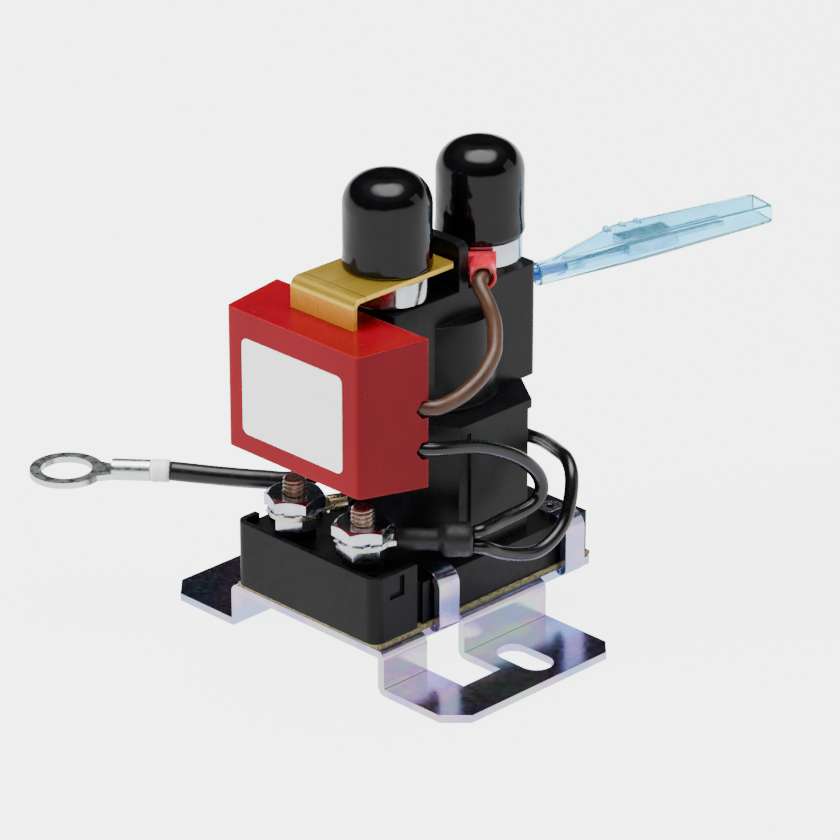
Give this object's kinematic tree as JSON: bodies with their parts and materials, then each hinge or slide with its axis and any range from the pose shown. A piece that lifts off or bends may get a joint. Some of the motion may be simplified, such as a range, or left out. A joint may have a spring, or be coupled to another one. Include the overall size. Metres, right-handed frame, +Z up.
{
  "type": "battery isolator relay",
  "caption": "Battery isolator relay: a plunger contactor with a potted sensing module, capped main terminals and leads, on a bent sheet bracket.",
  "frame": {"origin": "on the underside of the bracket, midway between its two mounting slots", "axes": "+X to the right seen from the module's face, +Y from the module to the rear, +Z up along the main studs"},
  "size_m": [0.0838, 0.1113, 0.0795],
  "materials": {
    "zinc_bracket": "bright zinc plate with a blue and violet tint",
    "fibre_board": "dull fibre board",
    "black_moulding": "semi-gloss black moulding",
    "rivet_steel": "plated steel",
    "coil_stud_metal": "worn plated thread",
    "nut_zinc": "bright zinc plate",
    "tinned_copper": "bright tin plate",
    "black_boot": "matte black",
    "black_lead": "satin black insulation",
    "core_steel": "zinc plated soft iron",
    "bobbin_plastic": "natural moulding",
    "enamelled_copper": "enamelled copper wire",
    "copper": "plain copper",
    "rod_brass": "turned brass",
    "spring_wire": "spring wire",
    "contact_silver": "silver contact face",
    "terminal_steel": "plated terminal",
    "collar_steel": "polished plated steel",
    "strap_brass": "satin light brass",
    "cap_black": "glossy black",
    "sleeve_red": "pinkish red",
    "lead_brown": "matte brown insulation",
    "case_red": "glossy red moulding",
    "potting_red": "hardened filling",
    "board_green": "circuit board",
    "component_black": "component bodies",
    "label_white": "blank white label",
    "band_white": "pale band",
    "lead_blue": "blue insulation",
    "crimp_tin": "tin plate",
    "clear_sleeve": "clear pale cyan"
  },
  "bodies": {
    "relay": {"mounting_bracket": "zinc_bracket", "insulating_board": "fibre_board", "base_moulding": "black_moulding", "base_rivets": "rivet_steel", "coil_studs": "coil_stud_metal", "coil_lower_nuts": "nut_zinc", "coil_lock_washers": "nut_zinc", "coil_upper_nuts": "nut_zinc", "coil_ring_lug": "tinned_copper", "coil_lug_boot": "black_boot", "drive_ring_lug": "tinned_copper", "drive_lead": "black_lead", "coil_housing": "black_moulding", "contact_housing": "black_moulding", "magnet_can": "core_steel", "pole_plate": "core_steel", "fixed_core": "core_steel", "coil_bobbin": "bobbin_plastic", "coil_winding": "enamelled_copper", "coil_terminal_strips": "copper", "return_spring": "spring_wire", "main_studs": "terminal_steel", "collar_nuts": "collar_steel", "main_lock_washers": "nut_zinc", "main_nuts": "nut_zinc", "brass_strap": "strap_brass", "sense_ring_lug": "tinned_copper", "sense_lug_sleeve": "sleeve_red", "sense_lead": "lead_brown", "module_case": "case_red", "module_potting": "potting_red", "circuit_board": "board_green", "board_components": "component_black", "blank_label": "label_white", "module_earth_lead": "black_lead", "earth_lead": "black_lead", "earth_lead_sleeve": "black_lead", "earth_band": "band_white", "earth_ring_terminal": "tinned_copper", "trigger_lead": "lead_blue", "trigger_terminal": "crimp_tin", "trigger_sleeve": "clear_sleeve"},
    "plunger_body": {"plunger": "core_steel", "push_rod": "rod_brass", "rod_clip": "nut_zinc", "contact_spring": "spring_wire"},
    "bridge_body": {"contact_bridge": "copper", "bridge_bush": "bobbin_plastic", "bridge_contacts": "contact_silver"},
    "front_cap": {"cap_front": "cap_black"},
    "rear_cap": {"cap_rear": "cap_black"}
  },
  "joints": [
    {"name": "plunger_slide", "type": "slide", "parent": "relay", "child": "plunger_body", "axis": [0, 0, 1], "range_m": [0, 0.0024], "stiffness_N_per_m": 400, "springref_m": -0.004, "deforming": ["return_spring"]},
    {"name": "bridge_lag", "type": "slide", "parent": "plunger_body", "child": "bridge_body", "axis": [0, 0, 1], "range_m": [-0.0004, 0], "deforming": ["contact_spring"]},
    {"name": "front_cap_lift", "type": "slide", "parent": "relay", "child": "front_cap", "axis": [0, 0, 1], "range_m": [0, 0.012]},
    {"name": "rear_cap_lift", "type": "slide", "parent": "relay", "child": "rear_cap", "axis": [0, 0, 1], "range_m": [0, 0.012]}
  ],
  "couplings": [
    {"joint": "bridge_lag", "follows": "plunger_slide", "ratio": -0.16667}
  ]
}
